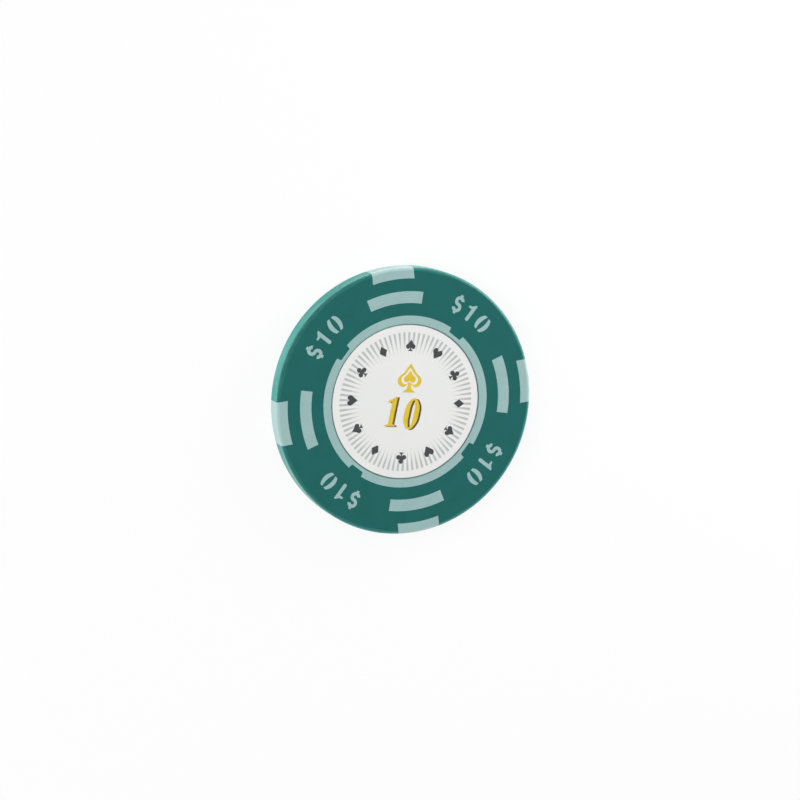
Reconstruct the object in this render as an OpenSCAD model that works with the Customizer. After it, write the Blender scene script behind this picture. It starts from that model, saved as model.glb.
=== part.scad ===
// Round poker chip, moulded in two colours over a steel weight, with a printed label let into each face.
// The chip lies flat. Its back face rests on z = 0, its front face looks along +Z, and the axis of the
// chip is the Z axis. The edge spots lie on the X and Y axes, and the value marks halfway between them.
// Both faces carry the same pattern: the back is the front turned over about the X axis.

/* [Chip] */
// Outer diameter of the chip
chip_d = 40; // [33:0.5:50]
// Thickness from the back face to the front face
chip_t = 3.2; // [3:0.1:4.5]
// Radius that breaks the edge between the rim and each face
rim_edge_r = 0.5; // [0.1:0.05:0.6]

/* [Dark body] */
// Thickness of the dark skin over each side of the light core
skin_t = 0.55; // [0.4:0.05:0.7]

/* [Weight] */
// Distance from the rim of the chip in to the edge of the steel weight
weight_inset = 5.6; // [4.8:0.1:8]
// Thickness of the light core between the weight and the dark skin
weight_cover_t = 0.25; // [0.15:0.05:0.35]

/* [Edge spots] */
// Width of each straight-sided edge spot
spot_w = 6.5; // [4:0.1:8]
// Length of an edge spot on the face, in from the rim
spot_len = 1.65; // [1:0.05:1.9]
// Depth that the hidden web reaches in under the edge spots
web_lap = 0.25; // [0.1:0.05:0.4]

/* [Dashes] */
// Gap on the face between an edge spot and the dash inside it
spot_dash_gap = 1.88; // [1.4:0.02:2.2]
// Radial width of a dash
dash_w = 1.75; // [1:0.05:2]
// Angle that a dash spans
dash_angle = 31.2; // [16:0.2:36]

/* [Ring and label] */
// Width of the dark band between the dashes and the light ring
band_w = 1.85; // [1:0.05:3]
// Radial width of the light ring round the label's recess
ring_w = 1.22; // [0.8:0.02:1.4]
// Gap between the label's edge and the wall of its recess
label_gap = 0.2; // [0.05:0.05:0.3]
// Width of each notch in the light ring, along its floor
notch_w = 2.1; // [1:0.1:4]
// Radial depth of each notch in the light ring
notch_depth = 0.74; // [0.2:0.02:0.75]
// Angle by which each side of a notch opens outwards
notch_flare = 13; // [0:1:20]
// Thickness of the label's adhesive
adhesive_t = 0.05; // [0.03:0.01:0.08]
// Thickness of the printed label sheet
label_sheet_t = 0.15; // [0.08:0.01:0.2]
// Thickness of the clear film over the print
film_t = 0.05; // [0.03:0.01:0.08]
// Depth of the film's surface below the face of the chip
label_set_back = 0.05; // [0.02:0.01:0.1]

/* [Value marks] */
// Height of a figure
mark_h = 2.7; // [1.8:0.1:3]
// Width of a figure's strokes
mark_stroke = 0.56; // [0.4:0.02:0.7]
// Width of the figure zero
zero_w = 2.08; // [1.8:0.02:2.3]
// Least gap between the two halves of the zero
zero_gap = 0.2; // [0.1:0.02:0.4]
// Width of the currency sign
sign_w = 1.5; // [1.3:0.05:1.8]
// Gap on the face between the middle of the marks and the inner end of an edge spot
spot_mark_gap = 1.99; // [1.7:0.01:2.3]
// Distance along the arc from one mark to the next
mark_pitch = 2.5; // [2.3:0.02:2.8]

/* [Inside the moulding] */
// Diameter of the posts that tie the two dark skins together
lock_d = 1.2; // [0.8:0.1:1.6]
// Wall of the light core between the weight and a post
lock_wall_t = 0.8; // [0.5:0.1:1]
// Angle of a post from the nearest edge spot
lock_angle = 24; // [21:0.5:27]
// Diameter of the holes left by the pins that hold the weight in the mould
pin_hole_d = 1.6; // [1:0.1:2.5]
// Radius of the circle that the pin holes lie on
pin_circle_r = 7; // [4:0.5:9]

/* [Hidden] */
$fn = 96;

// Length by which a cutting shape runs past the surface that it opens
overrun = 0.5;
// Number of edge spots, dashes, notches and groups of value marks round the chip
quarters = 4;
quarter_turn = 360 / quarters;
half_quarter = quarter_turn / 2;
// Number of mould pins that hold the weight on each side
pin_count = 3;

chip_r = chip_d / 2;
core_t = chip_t - 2 * skin_t;
weight_r = chip_r - weight_inset;
weight_t = core_t - 2 * weight_cover_t;
weight_z = skin_t + weight_cover_t;

// Radii on the face, from the rim inwards
spot_in_r = chip_r - spot_len;
web_r = spot_in_r + web_lap;
dash_out_r = spot_in_r - spot_dash_gap;
dash_in_r = dash_out_r - dash_w;
ring_r = dash_in_r - band_w;
notch_r = ring_r - notch_depth;
recess_r = ring_r - ring_w;
label_r = recess_r - label_gap;

// Place of the value marks
mark_r = spot_in_r - spot_mark_gap;
mark_step = mark_pitch / mark_r * 180 / PI;

// Recess that holds a label
recess_depth = adhesive_t + label_sheet_t + film_t + label_set_back;
recess_z = chip_t - recess_depth;

lock_r = weight_r + lock_wall_t + lock_d / 2;

// Colours of the pieces
dark_colour = [0.14, 0.40, 0.38];
light_colour = [0.60, 0.76, 0.73];
steel_colour = [0.62, 0.63, 0.65];
adhesive_colour = [0.85, 0.82, 0.72];
label_colour = [0.93, 0.93, 0.92];
film_colour = [0.90, 0.94, 0.97, 0.35];

// Sector of a circle from one angle to another, less than a full turn
module sector(radius, from_angle, to_angle) {
    steps = ceil((to_angle - from_angle) / 30);
    reach = radius / cos((to_angle - from_angle) / steps / 2);
    rays = [for (i = [0 : steps]) from_angle + (to_angle - from_angle) * i / steps];
    polygon(concat([[0, 0]], [for (a = rays) reach * [cos(a), sin(a)]]));
}

// Band of even width along an arc, centred on the given radius
module arc_band(radius, width, from_angle, to_angle) {
    intersection() {
        difference() {
            circle(radius + width / 2);
            circle(radius - width / 2);
        }
        sector(radius + width, from_angle, to_angle);
    }
}

// Copies the children to every quarter of the chip, turned on by the given angle
module each_quarter(turn = 0) {
    for (i = [0 : quarters - 1])
        rotate(turn + i * quarter_turn)
            children();
}

// Copies the children to both faces. They are drawn as they stand on the front.
module both_faces() {
    children();
    translate([0, 0, chip_t])
        rotate([180, 0, 0])
            children();
}

// Stencil figure one. Its flag slopes down from the top of the stem and levels out to a blunt tip.
// The flag's points are shares of the figure's height, and the stem's cut corners of its stroke.
flag_reach_share = 0.33;
flag_knee_share = 0.15;
flag_knee_drop_share = 0.17;
flag_tip_drop_share = 0.22;
flag_base_share = 0.32;
tip_flat_share = 0.1;
foot_cut_share = 0.27;

module figure_one() {
    top = mark_h / 2;
    side = mark_stroke / 2;
    foot_cut = mark_stroke * foot_cut_share;
    polygon([
        [side, foot_cut - top],
        [side, top],
        [mark_stroke * tip_flat_share, top],
        [-mark_h * flag_knee_share, top - mark_h * flag_knee_drop_share],
        [-mark_h * flag_reach_share, top - mark_h * flag_tip_drop_share],
        [-mark_h * flag_reach_share, top - mark_h * flag_base_share],
        [-side, top - mark_h * flag_base_share],
        [-side, foot_cut - top],
        [foot_cut - side, -top],
        [side - foot_cut, -top],
    ]);
}

// Stencil figure zero: two crescents with an open bridge above and below, leaning a little outwards.
// Their height and stroke are shares of the figures' own, and the bulge of their arcs of the zero's width.
zero_h_share = 0.9;
zero_stroke_share = 1.2;
outer_bulge_share = 0.22;
inner_bulge_share = 0.105;
zero_lean = 3.5;

function arc_radius(chord, bulge) = (chord * chord / 4 + bulge * bulge) / (2 * bulge);

module figure_zero_half() {
    height = mark_h * zero_h_share;
    stroke = mark_stroke * zero_stroke_share;
    outer_r = arc_radius(height, zero_w * outer_bulge_share);
    inner_r = arc_radius(height, zero_w * inner_bulge_share);
    outside = -zero_w / 2;
    difference() {
        intersection() {
            translate([outside + outer_r, 0])
                circle(outer_r);
            translate([outside, -height / 2])
                square([(zero_w - zero_gap) / 2, height]);
        }
        translate([outside + stroke + inner_r, 0])
            circle(inner_r);
    }
}

module figure_zero() {
    rotate(-zero_lean) {
        figure_zero_half();
        mirror([1, 0])
            figure_zero_half();
    }
}

// Currency sign: two bowls stacked into an S, with a stub above and below.
// The stroke and the stubs are shares of the sign's width, and the bowls open at the given angle.
sign_stroke_share = 0.34;
stub_w_share = 0.30;
stub_h_share = 0.155;
bowl_open_angle = 15;

module currency_sign() {
    stroke = sign_w * sign_stroke_share;
    bowl_r = (sign_w - stroke) / 2;
    stub_h = sign_w * stub_h_share;
    top = 2 * bowl_r + stroke / 2;
    translate([0, bowl_r])
        arc_band(bowl_r, stroke, bowl_open_angle, 270);
    translate([0, -bowl_r])
        arc_band(bowl_r, stroke, bowl_open_angle - 180, 90);
    for (side = [1, -1])
        translate([0, side * (top - stroke / 2 + stub_h / 2)])
            square([sign_w * stub_w_share, stroke + stub_h], center = true);
}

// One group of value marks, read with its top towards the rim
module value_group() {
    for (place = [1 : -1 : -1])
        rotate(place * mark_step)
            translate([mark_r, 0])
                rotate(-90) {
                    if (place == 1) currency_sign();
                    if (place == 0) figure_one();
                    if (place == -1) figure_zero();
                }
}

// Outline of a notch in the light ring, opening outwards and run out past the ring
module notch() {
    reach = notch_depth + overrun;
    half_w = notch_w / 2;
    open_half_w = half_w + reach * tan(notch_flare);
    translate([notch_r, 0])
        polygon([[0, -half_w], [reach, -open_half_w], [reach, open_half_w], [0, half_w]]);
}

// Everything of the light core that shows on a face, apart from the edge spots
module face_pattern() {
    difference() {
        circle(ring_r);
        each_quarter(half_quarter)
            notch();
    }
    each_quarter()
        arc_band((dash_in_r + dash_out_r) / 2, dash_w, -dash_angle / 2, dash_angle / 2);
    each_quarter(half_quarter)
        value_group();
}

// Outlines of the edge spots, run out past the rim
module spot_pattern() {
    difference() {
        each_quarter()
            translate([0, -spot_w / 2])
                square([chip_r + overrun, spot_w]);
        circle(spot_in_r);
    }
}

// Posts of the dark body, on both sides of each edge spot
module lock_posts(height) {
    each_quarter()
        for (side = [1, -1])
            rotate(side * lock_angle)
                translate([lock_r, 0])
                    cylinder(d = lock_d, h = height);
}

// Outer form of the whole chip, with both rim edges broken
module chip_blank() {
    rotate_extrude()
        difference() {
            square([chip_r, chip_t]);
            for (side = [0, 1])
                translate([chip_r - rim_edge_r, side * (chip_t - 2 * rim_edge_r) + rim_edge_r])
                    mirror([0, 1 - side])
                        difference() {
                            square(rim_edge_r + overrun);
                            circle(rim_edge_r);
                        }
        }
}

// Form of the light core, run out past the faces and the rim. The dark body is what this leaves of the
// blank, and the light core is what it takes, so the two share every wall.
module core_form() {
    difference() {
        translate([0, 0, skin_t])
            cylinder(r = web_r, h = core_t);
        translate([0, 0, skin_t - overrun])
            lock_posts(core_t + 2 * overrun);
    }
    both_faces()
        translate([0, 0, chip_t - skin_t])
            linear_extrude(skin_t + overrun)
                face_pattern();
    translate([0, 0, -overrun])
        linear_extrude(chip_t + 2 * overrun)
            spot_pattern();
}

// Disc that lies in a label recess on the front, from the given height above the recess floor
module label_disc(lift, thickness) {
    translate([0, 0, recess_z + lift])
        cylinder(r = label_r, h = thickness);
}

module weight_form() {
    translate([0, 0, weight_z])
        cylinder(r = weight_r, h = weight_t);
}

// Stamped steel disc that gives the chip its weight
module weight_slug() {
    color(steel_colour)
        weight_form();
}

// First shot: encloses the weight, holds both labels and rises through the dark skins
module light_core() {
    color(light_colour)
        difference() {
            intersection() {
                chip_blank();
                core_form();
            }
            weight_form();
            both_faces() {
                translate([0, 0, recess_z])
                    cylinder(r = recess_r, h = recess_depth + overrun);
                for (i = [0 : pin_count - 1])
                    rotate(i * 360 / pin_count)
                        translate([pin_circle_r, 0, chip_t / 2])
                            cylinder(d = pin_hole_d, h = chip_t);
            }
        }
}

// Second shot: both dark skins, the rim between the edge spots and the posts through the web
module dark_body() {
    color(dark_colour)
        difference() {
            chip_blank();
            core_form();
        }
}

module label_adhesive() {
    color(adhesive_colour)
        label_disc(0, adhesive_t);
}

module label_sheet() {
    color(label_colour)
        label_disc(adhesive_t, label_sheet_t);
}

module label_film() {
    color(film_colour)
        label_disc(adhesive_t + label_sheet_t, film_t);
}

// Turns a front piece over to the back face
module on_back() {
    translate([0, 0, chip_t])
        rotate([180, 0, 0])
            children();
}

weight_slug();
light_core();
dark_body();
label_adhesive();  // front_label_adhesive
label_sheet();  // front_label_sheet
label_film();  // front_label_film
on_back() label_adhesive();  // back_label_adhesive
on_back() label_sheet();  // back_label_sheet
on_back() label_film();  // back_label_film
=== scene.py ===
import math

import bmesh
import bpy
from mathutils import Color, Matrix, Vector


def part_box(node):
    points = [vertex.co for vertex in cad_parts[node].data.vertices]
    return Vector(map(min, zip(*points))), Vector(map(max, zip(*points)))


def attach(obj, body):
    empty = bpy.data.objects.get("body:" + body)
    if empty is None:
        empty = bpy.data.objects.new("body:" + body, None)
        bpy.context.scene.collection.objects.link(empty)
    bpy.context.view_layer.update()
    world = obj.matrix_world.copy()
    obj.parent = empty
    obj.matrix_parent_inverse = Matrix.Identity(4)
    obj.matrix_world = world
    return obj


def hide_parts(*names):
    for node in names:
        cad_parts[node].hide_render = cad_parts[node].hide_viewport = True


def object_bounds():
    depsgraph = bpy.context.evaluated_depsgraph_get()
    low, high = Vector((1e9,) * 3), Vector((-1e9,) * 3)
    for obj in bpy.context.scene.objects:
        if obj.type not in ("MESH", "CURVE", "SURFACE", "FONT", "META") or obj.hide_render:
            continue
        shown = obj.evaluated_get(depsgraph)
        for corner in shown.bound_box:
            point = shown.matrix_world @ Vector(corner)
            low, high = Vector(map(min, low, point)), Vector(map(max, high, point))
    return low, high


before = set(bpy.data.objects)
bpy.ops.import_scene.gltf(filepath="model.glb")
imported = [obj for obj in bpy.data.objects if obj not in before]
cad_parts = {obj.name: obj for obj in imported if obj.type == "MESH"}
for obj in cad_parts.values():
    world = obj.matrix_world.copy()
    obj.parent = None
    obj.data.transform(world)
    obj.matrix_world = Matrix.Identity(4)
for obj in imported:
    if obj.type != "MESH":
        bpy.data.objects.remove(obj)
cadLow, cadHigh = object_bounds()

mm = 0.001
scene = bpy.context.scene
scene.view_settings.view_transform = "Standard"
chipTop = cadHigh.z
chipRadius = cadHigh.x
chipMiddle = chipTop / 2
print("chip loaded:", len(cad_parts), "nodes,", round(chipRadius * 2 / mm, 2), "mm across")


# camera and studio lamps

viewSetup = {
    "roll": 7.94,  # degrees the chip is turned in its own plane
    "tilt": 23.1,  # degrees the face leans away from the lens
    "tiltAxis": 64.62,  # direction of the leaning axis in the picture
    "distance": 349.8 * mm,
    "lens": 106.7,
    "sensor": 36,
    "nearest": 5 * mm,
    "shift": (-0.0076, 0.0025),
}

leanTurn = math.radians(viewSetup["tiltAxis"])
leanAxis = Vector((math.cos(leanTurn), math.sin(leanTurn), 0))
seenTurn = Matrix.Rotation(math.radians(viewSetup["tilt"]), 3, leanAxis)
seenTurn = seenTurn @ Matrix.Rotation(math.radians(viewSetup["roll"]), 3, "Z")
lensTurn = seenTurn.transposed()
lensData = bpy.data.cameras.new("chipCamera")
lensData.lens = viewSetup["lens"]
lensData.sensor_width = viewSetup["sensor"]
lensData.clip_start = viewSetup["nearest"]
lensData.shift_x, lensData.shift_y = viewSetup["shift"]
chipCamera = bpy.data.objects.new("chipCamera", lensData)
chipCamera.matrix_world = (
    Matrix.Translation(Vector((0, 0, chipTop)) + lensTurn @ Vector((0, 0, viewSetup["distance"])))
    @ lensTurn.to_4x4()
)
scene.collection.objects.link(chipCamera)
scene.camera = chipCamera

studioLamps = {  # azimuth from +X, elevation, distance, width, level on a surface that faces it, tint
    "keySoftbox": (161, 36, 0.60, 0.60, 0.83, (1.0, 1.0, 0.99)),
    "edgeSoftbox": (24, 9, 0.18, 0.144, 1.24, (0.98, 1.0, 1.0)),
    "fillSoftbox": (278, 24, 0.60, 0.30, 0.05, (1.0, 1.0, 1.0)),
}


def hangLamp(name, azimuth, elevation, distance, width, level, tint):
    lamp = bpy.data.lights.new(name, "AREA")
    lamp.shape = "DISK"
    lamp.size = width
    lamp.color = tint
    lamp.energy = level * math.pi ** 2 * distance ** 2  # gives that level at the chip
    holder = bpy.data.objects.new(name, lamp)
    flat = math.cos(math.radians(elevation))
    away = Vector((
        flat * math.cos(math.radians(azimuth)),
        flat * math.sin(math.radians(azimuth)),
        math.sin(math.radians(elevation)),
    ))
    holder.location = away * distance
    holder.rotation_euler = away.to_track_quat("Z", "Y").to_euler()
    scene.collection.objects.link(holder)


for lampName, lampValues in studioLamps.items():
    hangLamp(lampName, *lampValues)


# small helpers for the material nodes


def paint(red, green, blue):
    return (*Color((red / 255, green / 255, blue / 255)).from_srgb_to_scene_linear(), 1.0)


def feed(tree, socket, value):
    if isinstance(value, bpy.types.NodeSocket):
        tree.links.new(value, socket)
    else:
        socket.default_value = value


def calc(tree, operation, *values, clamp=False):
    step = tree.nodes.new("ShaderNodeMath")
    step.operation = operation
    step.use_clamp = clamp
    for socket, value in zip(step.inputs, values):
        feed(tree, socket, value)
    return step.outputs[0]


# the bands in the tables below are start and end, then low and high where these aren't 0 and 1
def ramp(tree, value, start, end, low=0.0, high=1.0):
    step = tree.nodes.new("ShaderNodeMapRange")
    step.interpolation_type = "SMOOTHSTEP"
    for socket, given in zip(step.inputs[:5], (value, start, end, low, high)):
        feed(tree, socket, given)
    return step.outputs[0]


def mixPaint(tree, share, first, second):
    step = tree.nodes.new("ShaderNodeMix")
    step.data_type = "RGBA"
    feed(tree, step.inputs[0], share)
    feed(tree, step.inputs[6], first)
    feed(tree, step.inputs[7], second)
    return step.outputs[2]


def chipPlace(tree, stretch=(1, 1, 1), turn=0):
    place = tree.nodes.new("ShaderNodeTexCoord")
    mapping = tree.nodes.new("ShaderNodeMapping")
    mapping.inputs["Rotation"].default_value = (0, 0, turn)
    mapping.inputs["Scale"].default_value = stretch
    tree.links.new(place.outputs["Object"], mapping.inputs["Vector"])
    return mapping.outputs[0]


# the clouds in the tables below are size, detail and roughness
def cloud(tree, place, size, detail=3, roughness=0.5):
    step = tree.nodes.new("ShaderNodeTexNoise")
    step.inputs["Scale"].default_value = 1 / size
    step.inputs["Detail"].default_value = detail
    step.inputs["Roughness"].default_value = roughness
    tree.links.new(place, step.inputs["Vector"])
    return step.outputs["Fac"]


def fromAxis(tree, x, y):
    squares = calc(tree, "ADD", calc(tree, "MULTIPLY", x, x), calc(tree, "MULTIPLY", y, y))
    return calc(tree, "SQRT", squares)


def relief(tree, height, strength, depth):
    step = tree.nodes.new("ShaderNodeBump")
    step.inputs["Strength"].default_value = strength
    step.inputs["Distance"].default_value = depth
    feed(tree, step.inputs["Height"], height)
    return step.outputs[0]


def newGroup(name, inputs, outputs):
    group = bpy.data.node_groups.new(name, "ShaderNodeTree")
    for label, value in inputs.items():
        socket = group.interface.new_socket(label, in_out="INPUT", socket_type="NodeSocketFloat")
        socket.default_value = value
    for label in outputs:
        group.interface.new_socket(label, in_out="OUTPUT", socket_type="NodeSocketFloat")
    return group, group.nodes.new("NodeGroupInput").outputs, group.nodes.new("NodeGroupOutput").inputs


def useGroup(tree, group):
    step = tree.nodes.new("ShaderNodeGroup")
    step.node_tree = group
    return step.outputs


def newMaterial(name, **values):
    material = bpy.data.materials.new(name)
    material.use_nodes = True
    shader = material.node_tree.nodes["Principled BSDF"]
    for label, value in values.items():
        shader.inputs[label.replace("_", " ")].default_value = value
    return material, material.node_tree, shader.inputs


# the moulding's fine grain and slow clouding, shared by both shots

grainLook = {
    "grain": 0.12 * mm,
    "cloud": 2.6 * mm,
    "fineDetail": 4,
    "slowDetail": 5,
    "pitShare": 0.4,  # pits across the width of a grain
    "pitBand": (0.05, 0.22),
}


def makeMouldGrain():
    sizes = {"Grain": grainLook["grain"], "Cloud": grainLook["cloud"]}
    group, given, out = newGroup("mouldGrain", sizes, ("Fine", "Slow", "Pits"))
    fine = group.nodes.new("ShaderNodeTexNoise")
    slow = group.nodes.new("ShaderNodeTexNoise")
    pits = group.nodes.new("ShaderNodeTexVoronoi")
    place = chipPlace(group)
    for step, size in ((fine, given["Grain"]), (slow, given["Cloud"])):
        group.links.new(place, step.inputs["Vector"])
        group.links.new(calc(group, "DIVIDE", 1.0, size), step.inputs["Scale"])
    fine.inputs["Detail"].default_value = grainLook["fineDetail"]
    slow.inputs["Detail"].default_value = grainLook["slowDetail"]
    group.links.new(place, pits.inputs["Vector"])
    group.links.new(calc(group, "DIVIDE", grainLook["pitShare"], given["Grain"]), pits.inputs["Scale"])
    group.links.new(fine.outputs["Fac"], out["Fine"])
    group.links.new(slow.outputs["Fac"], out["Slow"])
    group.links.new(ramp(group, pits.outputs["Distance"], *grainLook["pitBand"]), out["Pits"])
    return group


# rubbed corners, painted highlight streaks on the rim, painted shade in the label's groove and masks
# for the rim wall and its rounded edges, from the place on the chip

rubLook = {
    "reach": 0.55 * mm,
    "nearShare": 0.3,  # share of the reach that is rubbed in full
    "seat": 11.68 * mm,  # radius of the label's recess
    "seatEdge": 0.02 * mm,
    "seatDepth": (0.02 * mm, 0.1 * mm),
    "scuff": (0.9 * mm, 5, 0.65),
    "scuffBand": (0.3, 0.72),
    # painted highlight streaks along the rim wall
    "streak": (7.5 * mm, 2, 0.4),
    "streakBand": (0.35, 0.75),
    "streakStretch": (1, 1, 4),
    "streakTurn": math.radians(27),
    "wallFoot": (0.3 * mm, 0.46 * mm),
    "rounding": (0.34 * mm, 0.5 * mm),
}


def makeEdgeWearAndLight():
    sizes = {"Reach": rubLook["reach"], "Seat": rubLook["seat"]}
    group, given, out = newGroup("edgeWearAndLight", sizes, ("Rub", "HighlightStreak", "Rim", "Rounding", "GrooveShade"))
    split = group.nodes.new("ShaderNodeSeparateXYZ")
    group.links.new(chipPlace(group), split.inputs[0])
    x, y, z = split.outputs
    radius = fromAxis(group, x, y)
    inward = calc(group, "SUBTRACT", chipRadius, radius)
    height = calc(group, "ABSOLUTE", calc(group, "SUBTRACT", z, chipMiddle))
    below = calc(group, "SUBTRACT", chipMiddle, height)
    corner = calc(group, "ADD", inward, below)  # small only where both are small
    scuff = ramp(group, cloud(group, chipPlace(group), *rubLook["scuff"]), *rubLook["scuffBand"])
    close = calc(group, "MULTIPLY", given["Reach"], rubLook["nearShare"])
    near = ramp(group, corner, close, given["Reach"], 1.0, 0.0)
    group.links.new(calc(group, "MULTIPLY", near, scuff), out["Rub"])
    # streaks of painted highlight along the rim wall
    around = chipPlace(group, rubLook["streakStretch"], rubLook["streakTurn"])
    streak = ramp(group, cloud(group, around, *rubLook["streak"]), *rubLook["streakBand"])
    rim = ramp(group, below, *rubLook["wallFoot"])  # the wall, from the foot of each rounding
    group.links.new(calc(group, "MULTIPLY", rim, streak), out["HighlightStreak"])
    group.links.new(rim, out["Rim"])
    outer = ramp(group, inward, *rubLook["rounding"], 1.0, 0.0)
    group.links.new(calc(group, "SUBTRACT", outer, rim, clamp=True), out["Rounding"])
    # the gap round the label, where painted shade goes
    inSeat = ramp(group, calc(group, "SUBTRACT", given["Seat"], radius), 0.0, rubLook["seatEdge"])
    sunk = ramp(group, below, *rubLook["seatDepth"])
    group.links.new(calc(group, "MULTIPLY", inSeat, sunk), out["GrooveShade"])
    return group


mouldGrain = makeMouldGrain()
edgeWearAndLight = makeEdgeWearAndLight()

darkFinish = {
    "face": paint(14, 95, 91),
    "deep": paint(12, 91, 87),
    # painted light: a lighter colour on the rim wall
    "rim": paint(40, 149, 141),
    # painted shade: a darker colour on the rounded edges
    "edge": paint(7, 80, 76),
    # painted shade in the gap round the label
    "grooveShade": paint(14, 70, 68),
    # real wear on rubbed corners and painted highlight streaks on the rim wall
    "wearAndHighlight": paint(150, 210, 203),
    "rubShare": 0.10,
    "highlightStreakShare": 0.26,
    "gloss": (0.44, 0.54),
    "rimGloss": 0.27,
    "edgeGloss": 0.45,  # clear shine on the rounded edges, at low angles
    "shine": {  # specular level, then the sheen's weight, spread and tint, in the order of coatOf
        "Face": (0.26, 0.12, 0.3, paint(150, 228, 214)),
        "Edge": (0.05, 1.0, 0.65, paint(140, 234, 220)),
        "Wall": (0.08, 0.0, 0.3, paint(150, 228, 214)),
    },
}
lightFinish = {
    "face": paint(156, 189, 188),
    "deep": paint(151, 184, 183),
    # painted light: a lighter colour on the rim wall
    "rim": paint(164, 198, 196),
    "edge": paint(156, 189, 188),
    # painted shade in the gap round the label
    "grooveShade": paint(136, 162, 160),
    # real wear on rubbed corners and painted highlight streaks on the rim wall
    "wearAndHighlight": paint(205, 228, 226),
    "rubShare": 0.10,
    "highlightStreakShare": 0.2,
    "gloss": (0.46, 0.56),
    "rimGloss": 0.3,
    "edgeGloss": 0.8,
    "shine": {
        "Face": (0.26, 0.06, 0.35, paint(225, 240, 238)),
        "Edge": (0.1, 1.0, 0.6, paint(225, 240, 238)),
        "Wall": (0.2, 0.06, 0.35, paint(225, 240, 238)),
    },
}
compositeLook = {
    "coatRoughness": 0.2,
    "coatIor": 1.5,
    "slowShare": 0.7,  # what the clouding and the grain give to the colour
    "fineShare": 0.3,
    "toneBand": (0.35, 0.65),
    "glossBand": (0.3, 0.7),
    "lowAngle": (0.08, 0.3),
    "pitDepth": 0.35,
    "relief": (0.25, 0.012 * mm),
}


def makeComposite(name, finish, part):
    level, weight, spread, tint = finish["shine"][part]
    material, tree, shader = newMaterial(
        name + part,
        Specular_IOR_Level=level,
        Sheen_Weight=weight,
        Sheen_Roughness=spread,
        Sheen_Tint=tint,
        Coat_Roughness=compositeLook["coatRoughness"],
        Coat_IOR=compositeLook["coatIor"],
    )
    grain = useGroup(tree, mouldGrain)
    edgeMasks = useGroup(tree, edgeWearAndLight)
    slow = calc(tree, "MULTIPLY", grain["Slow"], compositeLook["slowShare"])
    fine = calc(tree, "MULTIPLY", grain["Fine"], compositeLook["fineShare"])
    tone = ramp(tree, calc(tree, "ADD", slow, fine), *compositeLook["toneBand"])
    body = mixPaint(tree, tone, finish["deep"], finish["face"])
    # painted shade along the rounded edges, in the dark shot's darker edge colour; the light shot's
    # edge colour is its face colour
    body = mixPaint(tree, edgeMasks["Rounding"], body, finish["edge"])
    # painted light: the rim wall takes the lighter rim colour
    body = mixPaint(tree, edgeMasks["Rim"], body, finish["rim"])
    # real wear on the rubbed corners plus painted highlight streaks on the rim wall, in one pale colour
    worn = calc(tree, "MULTIPLY", edgeMasks["Rub"], finish["rubShare"])
    streaked = calc(tree, "MULTIPLY", edgeMasks["HighlightStreak"], finish["highlightStreakShare"])
    body = mixPaint(tree, calc(tree, "ADD", worn, streaked, clamp=True), body, finish["wearAndHighlight"])
    # painted shade in the gap round the label
    feed(tree, shader["Base Color"], mixPaint(tree, edgeMasks["GrooveShade"], body, finish["grooveShade"]))
    matte = ramp(tree, grain["Fine"], *compositeLook["glossBand"], *finish["gloss"])
    polish = calc(tree, "MULTIPLY", edgeMasks["Rim"], calc(tree, "SUBTRACT", matte, finish["rimGloss"]))
    feed(tree, shader["Roughness"], calc(tree, "SUBTRACT", matte, polish))
    view = tree.nodes.new("ShaderNodeLayerWeight")
    gleam = ramp(tree, view.outputs["Facing"], *compositeLook["lowAngle"], 0.0, finish["edgeGloss"])
    feed(tree, shader["Coat Weight"], calc(tree, "MULTIPLY", edgeMasks["Rounding"], gleam))
    pits = calc(tree, "MULTIPLY", grain["Pits"], compositeLook["pitDepth"])
    height = calc(tree, "ADD", grain["Fine"], pits)
    feed(tree, shader["Normal"], relief(tree, height, *compositeLook["relief"]))
    return material


darkCoats = [makeComposite("dark", darkFinish, part) for part in darkFinish["shine"]]
lightCoats = [makeComposite("light", lightFinish, part) for part in lightFinish["shine"]]
print("moulding finishes ready")


# the two shots of the moulding: merged copies of their solids, shaded smooth

mouldShade = {
    "merge": 0.002 * mm,
    "flat": math.radians(0.4),  # faces that bend less than this become one
    "sharp": math.radians(35),
    "rimEdge": 0.5 * mm,  # how far in the rounded edges reach
    "level": 0.9995,  # a face whose normal rises more than this is flat
    "upright": 0.02,
    "flatWeight": 80,
}


def coatOf(face):
    rise = abs(face.normal.z)
    inside = face.calc_center_median().xy.length < chipRadius - mouldShade["rimEdge"]
    if inside or rise > mouldShade["level"]:
        return 0  # a flat, or a wall inside the chip
    return 1 if rise > mouldShade["upright"] else 2  # a rounded edge, or the rim's wall


def dressMoulding(name, node, coats):
    shape = bmesh.new()
    shape.from_mesh(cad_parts[node].data)
    bmesh.ops.remove_doubles(shape, verts=shape.verts, dist=mouldShade["merge"])
    bmesh.ops.dissolve_limit(
        shape, angle_limit=mouldShade["flat"], verts=shape.verts, edges=shape.edges
    )
    shape.normal_update()
    for face in shape.faces:
        face.smooth = True
        face.material_index = coatOf(face)
    for edge in shape.edges:
        edge.smooth = edge.calc_face_angle(math.pi) < mouldShade["sharp"]
    mesh = bpy.data.meshes.new(name)
    shape.to_mesh(mesh)
    shape.free()
    if "custom_normal" in mesh.attributes:  # the loose triangles' own normals
        mesh.attributes.remove(mesh.attributes["custom_normal"])
    for coat in coats:
        mesh.materials.append(coat)
    piece = bpy.data.objects.new(name, mesh)
    scene.collection.objects.link(piece)
    shading = piece.modifiers.new("flatFaces", "WEIGHTED_NORMAL")
    shading.keep_sharp = True
    shading.weight = mouldShade["flatWeight"]
    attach(piece, "root")
    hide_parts(node)
    print(name, "dressed:", len(mesh.polygons), "faces")


dressMoulding("darkBody", "dark_body", darkCoats)
dressMoulding("lightCore", "light_core", lightCoats)


# printed labels: a sheet with a clear film set back from its die-cut edge

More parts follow.
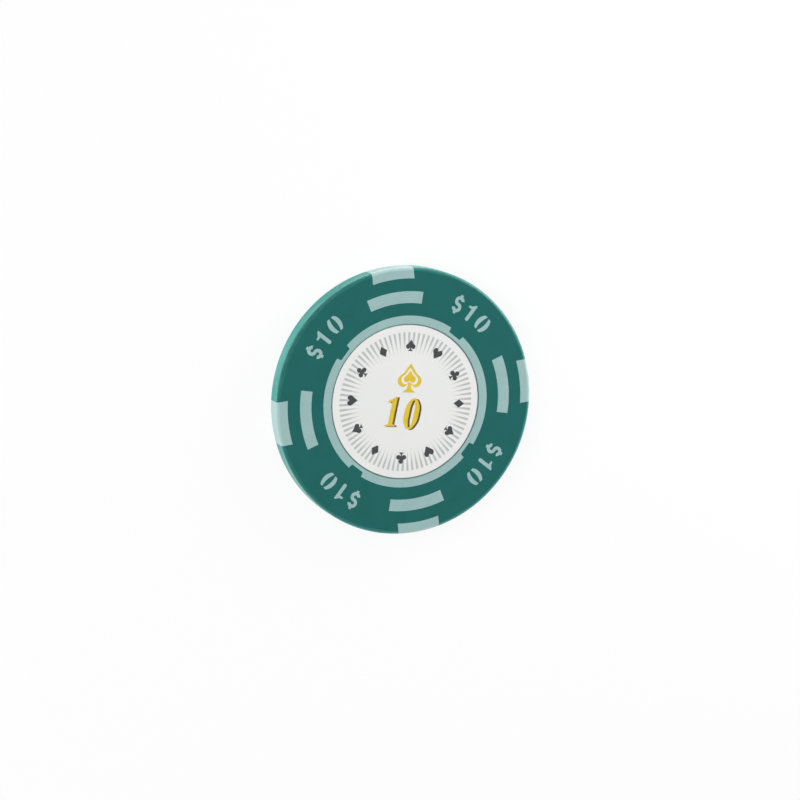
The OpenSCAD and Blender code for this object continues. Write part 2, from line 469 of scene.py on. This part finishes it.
labelShape = {
    "segments": 192,
    "filmSetIn": 0.03 * mm,
    "filmEdge": 0.02 * mm,
    "edgeBulge": 0.3,  # share of the film's edge that its middle point is set in
    "flatRings": (3, 6),  # rings near the edge, which keep the flat's shading flat
    "merge": 0.0005 * mm,
    "sharp": math.radians(35),
}
sheetLow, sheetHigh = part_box("front_label_sheet")
filmLow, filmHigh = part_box("front_label_film")
labelRadius = sheetHigh.x
labelTop = filmHigh.z

rayPrint = {
    "count": 82,
    "inner": 6.6 * mm,
    "full": 9.6 * mm,
    "outer": 10.4 * mm,
    "thin": 0.2,  # share of the pitch that is inked at the inner end
    "wide": 0.46,
    "soft": 0.16,
    "stop": 0.1 * mm,
    "turn": math.radians(-11.3),
    "paper": paint(237, 237, 236),
    "warm": paint(235, 236, 235),
    "ink": paint(188, 189, 190),
}
paperLook = {
    "shine": 0.16,
    "coatRoughness": 0.2,
    "coatIor": 1.45,
    "fibre": (0.09 * mm, 3, 0.6),
    "drift": (4.5 * mm, 3),
    "driftBand": (0.35, 0.65),
    "inkBand": (0.2, 0.6, 0.82, 1.0),  # ink takes a little unevenly
    "gloss": (0.3, 0.7, 0.36, 0.48),
    "coat": (0.3, 0.7, 0.06, 0.12),
    "relief": (0.08, 0.006 * mm),
}


def makeLabelPrint():
    material, tree, shader = newMaterial(
        "labelPrint",
        Specular_IOR_Level=paperLook["shine"],
        Coat_Roughness=paperLook["coatRoughness"],
        Coat_IOR=paperLook["coatIor"],
    )
    split = tree.nodes.new("ShaderNodeSeparateXYZ")
    tree.links.new(chipPlace(tree, turn=-rayPrint["turn"]), split.inputs[0])
    x, y, _ = split.outputs
    radius = fromAxis(tree, x, y)
    turns = calc(tree, "MULTIPLY", calc(tree, "ARCTAN2", y, x), rayPrint["count"] / (2 * math.pi))
    wave = calc(tree, "ABSOLUTE", calc(tree, "SUBTRACT", calc(tree, "FRACT", turns), 0.5))
    fromRay = calc(tree, "SUBTRACT", 1.0, calc(tree, "MULTIPLY", wave, 2.0))  # 0 on a ray's middle line
    inner, outer, soft, end = (rayPrint[label] for label in ("inner", "outer", "soft", "stop"))
    width = ramp(tree, radius, inner, outer, rayPrint["thin"], rayPrint["wide"])
    ray = ramp(tree, calc(tree, "SUBTRACT", fromRay, width), -soft, soft, 1.0, 0.0)
    fade = ramp(tree, radius, inner, rayPrint["full"])
    stop = ramp(tree, radius, outer - end, outer + end, 1.0, 0.0)
    fibre = cloud(tree, chipPlace(tree), *paperLook["fibre"])
    drift = cloud(tree, chipPlace(tree), *paperLook["drift"])
    take = ramp(tree, fibre, *paperLook["inkBand"])
    drawn = calc(tree, "MULTIPLY", ray, fade)
    inked = calc(tree, "MULTIPLY", drawn, calc(tree, "MULTIPLY", stop, take))
    sheet = ramp(tree, drift, *paperLook["driftBand"])
    paper = mixPaint(tree, sheet, rayPrint["warm"], rayPrint["paper"])
    feed(tree, shader["Base Color"], mixPaint(tree, inked, paper, rayPrint["ink"]))
    feed(tree, shader["Roughness"], ramp(tree, fibre, *paperLook["gloss"]))
    feed(tree, shader["Coat Weight"], ramp(tree, drift, *paperLook["coat"]))
    feed(tree, shader["Normal"], relief(tree, fibre, *paperLook["relief"]))
    return material


def newPiece(name, shape, material):
    bmesh.ops.remove_doubles(shape, verts=shape.verts, dist=labelShape["merge"])
    bmesh.ops.recalc_face_normals(shape, faces=shape.faces)
    for face in shape.faces:
        face.smooth = True
    mesh = bpy.data.meshes.new(name)
    shape.to_mesh(mesh)
    shape.free()
    mesh.set_sharp_from_angle(angle=labelShape["sharp"])
    mesh.materials.append(material)
    piece = bpy.data.objects.new(name, mesh)
    scene.collection.objects.link(piece)
    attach(piece, "root")
    return piece


def turnOver(shape):
    bmesh.ops.rotate(
        shape, cent=(0, 0, chipMiddle), matrix=Matrix.Rotation(math.pi, 3, "X"), verts=shape.verts
    )


def cutLabel():
    shape = bmesh.new()
    filmRadius = labelRadius - labelShape["filmSetIn"]
    edge = labelShape["filmEdge"]
    bulge = edge * labelShape["edgeBulge"]
    outline = [
        (0, sheetLow.z),
        (labelRadius, sheetLow.z),
        (labelRadius, filmLow.z),
        (filmRadius, filmLow.z),
        (filmRadius, labelTop - edge),
        (filmRadius - bulge, labelTop - bulge),
        (filmRadius - edge, labelTop),
        *((filmRadius - ring * edge, labelTop) for ring in labelShape["flatRings"]),
        (0, labelTop),
    ]
    corners = [shape.verts.new((radius, 0, height)) for radius, height in outline]
    for first, second in zip(corners, corners[1:]):
        shape.edges.new((first, second))
    bmesh.ops.spin(
        shape,
        geom=shape.verts[:] + shape.edges[:],
        cent=(0, 0, 0),
        axis=(0, 0, 1),
        angle=2 * math.pi,
        steps=labelShape["segments"],
        use_merge=True,
    )
    return shape


labelPrint = makeLabelPrint()
frontLabel = newPiece("frontLabel", cutLabel(), labelPrint)
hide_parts("front_label_sheet", "front_label_film")
turned = cutLabel()
turnOver(turned)
backLabel = newPiece("backLabel", turned, labelPrint)
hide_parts("back_label_sheet", "back_label_film")
print("labels cut")


# foil and ink on the labels, drawn as flat curves; "c" is a corner, "s" a smooth point

numeralShape = {
    "slant": 0.13,
    "one": [
        (-0.9, 0, "c"), (-0.9, 0.15, "c"), (-0.34, 0.36, "c"), (-0.34, 3.66, "c"), (-0.94, 3.52, "c"),
        (-0.98, 3.82, "c"), (-0.26, 4.12, "c"), (0.06, 4.44, "c"), (0.34, 4.44, "c"), (0.34, 0.36, "c"),
        (0.78, 0.15, "c"), (0.78, 0, "c"),
    ],
    "zeroOuter": [
        (0, 4.68, "s"), (0.8, 4.02, "s"), (1.13, 2.34, "s"), (0.8, 0.66, "s"), (0, 0, "s"),
        (-0.8, 0.66, "s"), (-1.13, 2.34, "s"), (-0.8, 4.02, "s"),
    ],
    "zeroInner": [
        (0, 4.38, "s"), (0.27, 3.86, "s"), (0.37, 2.34, "s"), (0.27, 0.82, "s"), (0, 0.3, "s"),
        (-0.27, 0.82, "s"), (-0.37, 2.34, "s"), (-0.27, 3.86, "s"),
    ],
    "oneFoot": (-2.26, -3.7),
    "zeroFoot": (0.72, -4.1),
    "shade": (0.33, -0.09),
    "foilHeight": 0.02 * mm,
    "inkHeight": 0.01 * mm,
    "curveSteps": 10,
}
pipHalves = {  # right half of each suit, from the top down, about 4 mm tall
    "spade": [
        (0, 2.05, "c"), (0.82, 0.86, "s"), (1.76, -0.36, "s"), (1.1, -1.28, "s"), (0.2, -0.86, "c"),
        (0.36, -1.5, "s"), (0.95, -2.05, "c"),
    ],
    "heart": [(0, 1.0, "c"), (0.95, 1.78, "s"), (1.86, 0.72, "s"), (1.0, -0.74, "s"), (0, -2.0, "c")],
    "diamond": [(0, 2.05, "c"), (1.5, 0, "c"), (0, -2.05, "c")],
    "club": [
        (0, 2.02, "s"), (0.86, 1.16, "s"), (0.5, 0.46, "c"), (1.2, 0.52, "s"), (1.9, -0.3, "s"),
        (1.1, -1.14, "s"), (0.2, -0.66, "c"), (0.36, -1.5, "s"), (0.95, -2.05, "c"),
    ],
}
emblem = {
    "suit": "spade",
    "scale": 1.06,
    "place": (0.3, 3.6),
    "bowl": [  # the spade without its foot, drawn smaller for the inline
        (0, 2.05, "c"), (0.82, 0.86, "s"), (1.76, -0.36, "s"), (1.1, -1.28, "s"), (0, -0.86, "c"),
        (-1.1, -1.28, "s"), (-1.76, -0.36, "s"), (-0.82, 0.86, "s"),
    ],
    "inline": ((0.72, 0.02), (0.5, 0.02)),
}
suitRing = {"count": 12, "radius": 8.45, "scale": 0.42, "suits": ("spade", "heart", "club", "diamond")}
labelTurns = {"front": math.radians(-11.3), "back": math.radians(24)}


def wholePip(suit):
    half = pipHalves[suit]
    left = [(-x, y, kind) for x, y, kind in reversed(half) if x > 0]
    return half + left


def drawFlat(outlines, thickness):
    curve = bpy.data.curves.new("printOutline", "CURVE")
    curve.dimensions = "2D"
    curve.fill_mode = "BOTH"
    curve.resolution_u = numeralShape["curveSteps"]
    curve.extrude = thickness / mm / 2
    for outline in outlines:
        spline = curve.splines.new("BEZIER")
        spline.bezier_points.add(len(outline) - 1)
        spline.use_cyclic_u = True
        for point, (x, y, kind) in zip(spline.bezier_points, outline):
            point.co = (x, y, 0)
            point.handle_left_type = point.handle_right_type = "AUTO" if kind == "s" else "VECTOR"
    holder = bpy.data.objects.new("printOutline", curve)
    scene.collection.objects.link(holder)
    bpy.context.view_layer.update()
    mesh = bpy.data.meshes.new_from_object(holder.evaluated_get(bpy.context.evaluated_depsgraph_get()))
    bpy.data.objects.remove(holder)
    bpy.data.curves.remove(curve)
    return mesh


def addPrint(shape, outlines, thickness, place, turn=0.0, scale=1.0, slant=0.0):
    mesh = drawFlat(outlines, thickness)
    lean = Matrix.Identity(4)
    lean[0][1] = slant
    spot = (
        Matrix.Translation((place[0] * mm, place[1] * mm, labelTop + thickness / 2))
        @ Matrix.Rotation(turn, 4, "Z")
        @ Matrix.Diagonal((scale * mm, scale * mm, mm, 1))
        @ lean
    )
    mesh.transform(spot)
    shape.from_mesh(mesh)
    bpy.data.meshes.remove(mesh)


def finishPrint(side, name, shape, material):
    bmesh.ops.rotate(
        shape, cent=(0, 0, 0), matrix=Matrix.Rotation(labelTurns[side], 3, "Z"), verts=shape.verts
    )
    if side == "back":
        turnOver(shape)
    newPiece(side + name, shape, material)


foilLook = {
    "shine": 0.4,
    "deep": paint(218, 187, 42),
    "gold": paint(226, 197, 58),
    "glint": paint(240, 220, 118),
    "flake": (0.07 * mm, 3, 0.6),
    "pool": (0.9 * mm, 4),
    "poolBand": (0.3, 0.7),
    "glintBand": (0.62, 0.75, 0.0, 0.35),
    "metal": (0.3, 0.7, 0.15, 0.3),
    "gloss": (0.3, 0.7, 0.3, 0.46),
    "relief": (0.15, 0.008 * mm),
}
inkLook = {
    "shine": 0.3,
    "speck": (0.06 * mm, 3, 0.65),
    "thinBand": (0.5, 0.75),
    "gloss": (0.3, 0.7, 0.42, 0.58),
    "relief": (0.12, 0.004 * mm),
    "shade": (paint(92, 76, 44), paint(116, 98, 60)),  # full, and where the ink is thin
    "suit": (paint(62, 63, 66), paint(92, 93, 96)),
}


def makeFoil():
    material, tree, shader = newMaterial("goldFoil", Specular_IOR_Level=foilLook["shine"])
    flake = cloud(tree, chipPlace(tree), *foilLook["flake"])
    pool = ramp(tree, cloud(tree, chipPlace(tree), *foilLook["pool"]), *foilLook["poolBand"])
    tone = mixPaint(tree, pool, foilLook["deep"], foilLook["gold"])
    glint = ramp(tree, flake, *foilLook["glintBand"])
    feed(tree, shader["Base Color"], mixPaint(tree, glint, tone, foilLook["glint"]))
    feed(tree, shader["Metallic"], ramp(tree, flake, *foilLook["metal"]))
    feed(tree, shader["Roughness"], ramp(tree, flake, *foilLook["gloss"]))
    feed(tree, shader["Normal"], relief(tree, flake, *foilLook["relief"]))
    return material


def makeInk(name, full, thin):
    material, tree, shader = newMaterial(name, Specular_IOR_Level=inkLook["shine"])
    speck = cloud(tree, chipPlace(tree), *inkLook["speck"])
    worn = ramp(tree, speck, *inkLook["thinBand"])
    feed(tree, shader["Base Color"], mixPaint(tree, worn, full, thin))
    feed(tree, shader["Roughness"], ramp(tree, speck, *inkLook["gloss"]))
    feed(tree, shader["Normal"], relief(tree, speck, *inkLook["relief"]))
    return material


goldFoil = makeFoil()
shadeInk = makeInk("shadeInk", *inkLook["shade"])
suitInk = makeInk("suitInk", *inkLook["suit"])


def printLabel(side):
    one = [numeralShape["one"]]
    zero = [numeralShape["zeroOuter"], numeralShape["zeroInner"]]
    slant = numeralShape["slant"]
    for name, thickness, offset, material in (
        ("Numeral", numeralShape["foilHeight"], (0, 0), goldFoil),
        ("NumeralShade", numeralShape["inkHeight"], numeralShape["shade"], shadeInk),
    ):
        shape = bmesh.new()
        for outlines, foot in ((one, numeralShape["oneFoot"]), (zero, numeralShape["zeroFoot"])):
            spot = (foot[0] + offset[0], foot[1] + offset[1])
            addPrint(shape, outlines, thickness, spot, slant=slant)
        finishPrint(side, name, shape, material)
    shape = bmesh.new()
    outer = wholePip(emblem["suit"])
    inline = []
    for share, lift in emblem["inline"]:
        inline.append([(x * share, y * share + lift, kind) for x, y, kind in emblem["bowl"]])
    foil = numeralShape["foilHeight"]
    addPrint(shape, [outer, *inline], foil, emblem["place"], scale=emblem["scale"])
    finishPrint(side, "Emblem", shape, goldFoil)
    shape = bmesh.new()
    for index in range(suitRing["count"]):
        angle = math.pi / 2 - 2 * math.pi * index / suitRing["count"]
        spot = (suitRing["radius"] * math.cos(angle), suitRing["radius"] * math.sin(angle))
        suit = suitRing["suits"][index % len(suitRing["suits"])]
        turn = angle - math.pi / 2
        addPrint(shape, [wholePip(suit)], numeralShape["inkHeight"], spot, turn, suitRing["scale"])
    finishPrint(side, "SuitRing", shape, suitInk)


for labelSide in ("front", "back"):
    printLabel(labelSide)
print("labels printed")


# the hidden layers keep their solids: the steel weight and the two adhesive discs

steelLook = {
    "shine": 0.5,
    "dark": paint(150, 151, 153),
    "pale": paint(182, 183, 185),
    "rust": paint(120, 104, 92),
    "roll": (6 * mm, 4, 0.6),
    "rollStretch": (1, 40, 40),
    "rollBand": (0.3, 0.7),
    "patch": (3 * mm, 5, 0.6),
    "rustBand": (0.58, 0.75, 0.0, 0.5),
    "metal": (0.58, 0.8, 1.0, 0.6),
    "gloss": (0.3, 0.7, 0.3, 0.48),
    "relief": (0.2, 0.01 * mm),
}
adhesiveLook = {
    "shine": 0.5,
    "thick": paint(224, 214, 184),
    "thin": paint(236, 226, 196),
    "bubble": 0.8 * mm,
    "bubbleBand": (0.1, 0.5),
    "gloss": (0.0, 1.0, 0.18, 0.34),
    "relief": (0.2, 0.01 * mm),
}


def makeSteel():
    material, tree, shader = newMaterial("weightSteel", Specular_IOR_Level=steelLook["shine"])
    roll = cloud(tree, chipPlace(tree, steelLook["rollStretch"]), *steelLook["roll"])
    patch = cloud(tree, chipPlace(tree), *steelLook["patch"])
    rolled = ramp(tree, roll, *steelLook["rollBand"])
    tone = mixPaint(tree, rolled, steelLook["dark"], steelLook["pale"])
    rusted = ramp(tree, patch, *steelLook["rustBand"])
    feed(tree, shader["Base Color"], mixPaint(tree, rusted, tone, steelLook["rust"]))
    feed(tree, shader["Metallic"], ramp(tree, patch, *steelLook["metal"]))
    feed(tree, shader["Roughness"], ramp(tree, roll, *steelLook["gloss"]))
    feed(tree, shader["Normal"], relief(tree, roll, *steelLook["relief"]))
    return material


def makeAdhesive():
    material, tree, shader = newMaterial("adhesiveLayer", Specular_IOR_Level=adhesiveLook["shine"])
    bubble = tree.nodes.new("ShaderNodeTexVoronoi")
    bubble.inputs["Scale"].default_value = 1 / adhesiveLook["bubble"]
    tree.links.new(chipPlace(tree), bubble.inputs["Vector"])
    cells = ramp(tree, bubble.outputs["Distance"], *adhesiveLook["bubbleBand"])
    feed(tree, shader["Base Color"], mixPaint(tree, cells, adhesiveLook["thin"], adhesiveLook["thick"]))
    feed(tree, shader["Roughness"], ramp(tree, cells, *adhesiveLook["gloss"]))
    feed(tree, shader["Normal"], relief(tree, cells, *adhesiveLook["relief"]))
    return material


weightSteel = makeSteel()
adhesiveLayer = makeAdhesive()
for nodeName, material in (
    ("weight_slug", weightSteel),
    ("front_label_adhesive", adhesiveLayer),
    ("back_label_adhesive", adhesiveLayer),
):
    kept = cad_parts[nodeName].data.materials
    kept.clear()
    kept.append(material)
print("hidden layers finished")


# floor and world

studioSet = {
    "floorSize": 3.0,
    "floorSquares": 8,
    "floorDrop": 0.02 * mm,
    "floorShine": 0.1,
    "floorRoughness": 0.9,
    "drift": (60 * mm, 2),
    "floor": paint(252, 252, 252),
    "shade": paint(250, 250, 250),
    "floorGlow": 0.88,  # share of plain white in what the lens and reflections see of the floor
    "worldLevel": 0.37,
}


def seenRays(tree):
    rays = tree.nodes.new("ShaderNodeLightPath").outputs
    seen = calc(tree, "MAXIMUM", rays["Is Camera Ray"], rays["Is Glossy Ray"])
    return calc(tree, "MAXIMUM", seen, rays["Is Transmission Ray"])


def layFloor():
    shape = bmesh.new()
    squares = studioSet["floorSquares"]
    reach = studioSet["floorSize"] / 2
    bmesh.ops.create_grid(shape, x_segments=squares, y_segments=squares, size=reach)
    bmesh.ops.translate(shape, vec=(0, 0, -studioSet["floorDrop"]), verts=shape.verts)
    mesh = bpy.data.meshes.new("studioFloor")
    shape.to_mesh(mesh)
    shape.free()
    material, tree, shader = newMaterial(
        "floorPaper", Specular_IOR_Level=studioSet["floorShine"], Roughness=studioSet["floorRoughness"]
    )
    drift = cloud(tree, chipPlace(tree), *studioSet["drift"])
    feed(tree, shader["Base Color"], mixPaint(tree, drift, studioSet["shade"], studioSet["floor"]))
    white = tree.nodes.new("ShaderNodeEmission")
    blend = tree.nodes.new("ShaderNodeMixShader")
    feed(tree, blend.inputs[0], calc(tree, "MULTIPLY", seenRays(tree), studioSet["floorGlow"]))
    tree.links.new(tree.nodes["Principled BSDF"].outputs[0], blend.inputs[1])
    tree.links.new(white.outputs[0], blend.inputs[2])
    tree.links.new(blend.outputs[0], tree.nodes["Material Output"].inputs["Surface"])
    mesh.materials.append(material)
    floor = bpy.data.objects.new("studioFloor", mesh)
    scene.collection.objects.link(floor)


def lightWorld():
    world = bpy.data.worlds.new("studioWorld")
    world.use_nodes = True
    scene.world = world
    tree = world.node_tree
    seen = seenRays(tree)
    background = tree.nodes["Background"].inputs
    background["Color"].default_value = (1, 1, 1, 1)
    level = studioSet["worldLevel"]
    rest = calc(tree, "MULTIPLY", seen, 1.0 - level)
    feed(tree, background["Strength"], calc(tree, "ADD", level, rest))


layFloor()
lightWorld()
print("studio set")
